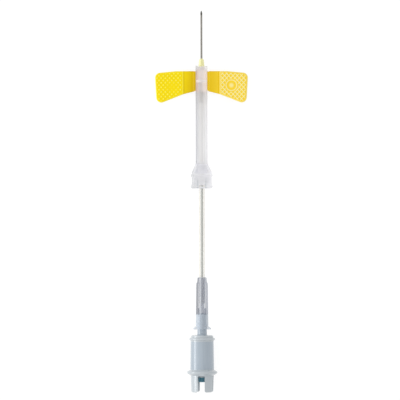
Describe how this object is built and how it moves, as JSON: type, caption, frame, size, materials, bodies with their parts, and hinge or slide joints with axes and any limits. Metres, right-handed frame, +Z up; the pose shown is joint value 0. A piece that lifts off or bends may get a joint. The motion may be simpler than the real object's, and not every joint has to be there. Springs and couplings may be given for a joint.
{
  "type": "safety butterfly needle",
  "caption": "Winged blood-collection needle with folding yellow wings, a sliding clear needle guard, a short tube and a tapered connector plugged with a grey tube adapter.",
  "frame": {"origin": "centre of the needle, wing and guard group in plan, on the surface that the guard's bell lies on; the tube, its connector and the adapter are left out of that box", "axes": "+Y along the needle towards its point, +X across the wings, +Z up from the table"},
  "size_m": [0.0418, 0.1716, 0.0136],
  "materials": {
    "needle_steel": "polished drawn stainless steel",
    "hub_plastic": "translucent pale yellow, glossy",
    "wing_plastic": "opaque yellow polyethylene, satin",
    "guard_plastic": "milky translucent polypropylene, satin",
    "tube_vinyl": "clear soft vinyl, glossy",
    "connector_plastic": "clear rigid plastic, glossy",
    "adapter_plastic": "pale grey polypropylene, satin gloss",
    "sleeve_rubber": "dark teal rubber, matte"
  },
  "bodies": {
    "needle_line": {"needle_cannula": "needle_steel", "needle_hub": "hub_plastic", "wing_sleeve": "wing_plastic", "tube": "tube_vinyl", "tube_connector": "connector_plastic"},
    "left_wing": {"left_wing": "wing_plastic"},
    "right_wing": {"right_wing": "wing_plastic"},
    "needle_guard": {"guard_barrel": "guard_plastic", "guard_bell": "guard_plastic"},
    "adapter": {"adapter_hub": "adapter_plastic", "adapter_housing": "adapter_plastic", "rear_cannula": "needle_steel", "valve_sleeve": "sleeve_rubber"}
  },
  "joints": [
    {"name": "guard_slide", "type": "slide", "parent": "needle_line", "child": "needle_guard", "axis": [0, 1, 0], "range_m": [0, 0.0313]},
    {"name": "left_wing_fold", "type": "hinge", "parent": "needle_line", "child": "left_wing", "pos_m": [-0.004, 0.00815, 0.00385], "axis": [0, 1, 0], "range_deg": [0, 85], "stiffness_Nm_per_rad": 0.0005},
    {"name": "right_wing_fold", "type": "hinge", "parent": "needle_line", "child": "right_wing", "pos_m": [0.004, 0.00815, 0.00385], "axis": [0, -1, 0], "range_deg": [0, 85], "stiffness_Nm_per_rad": 0.0005},
    {"name": "adapter_pull", "type": "slide", "parent": "needle_line", "child": "adapter", "axis": [0, -1, 0], "range_m": [0, 0.012]}
  ]
}
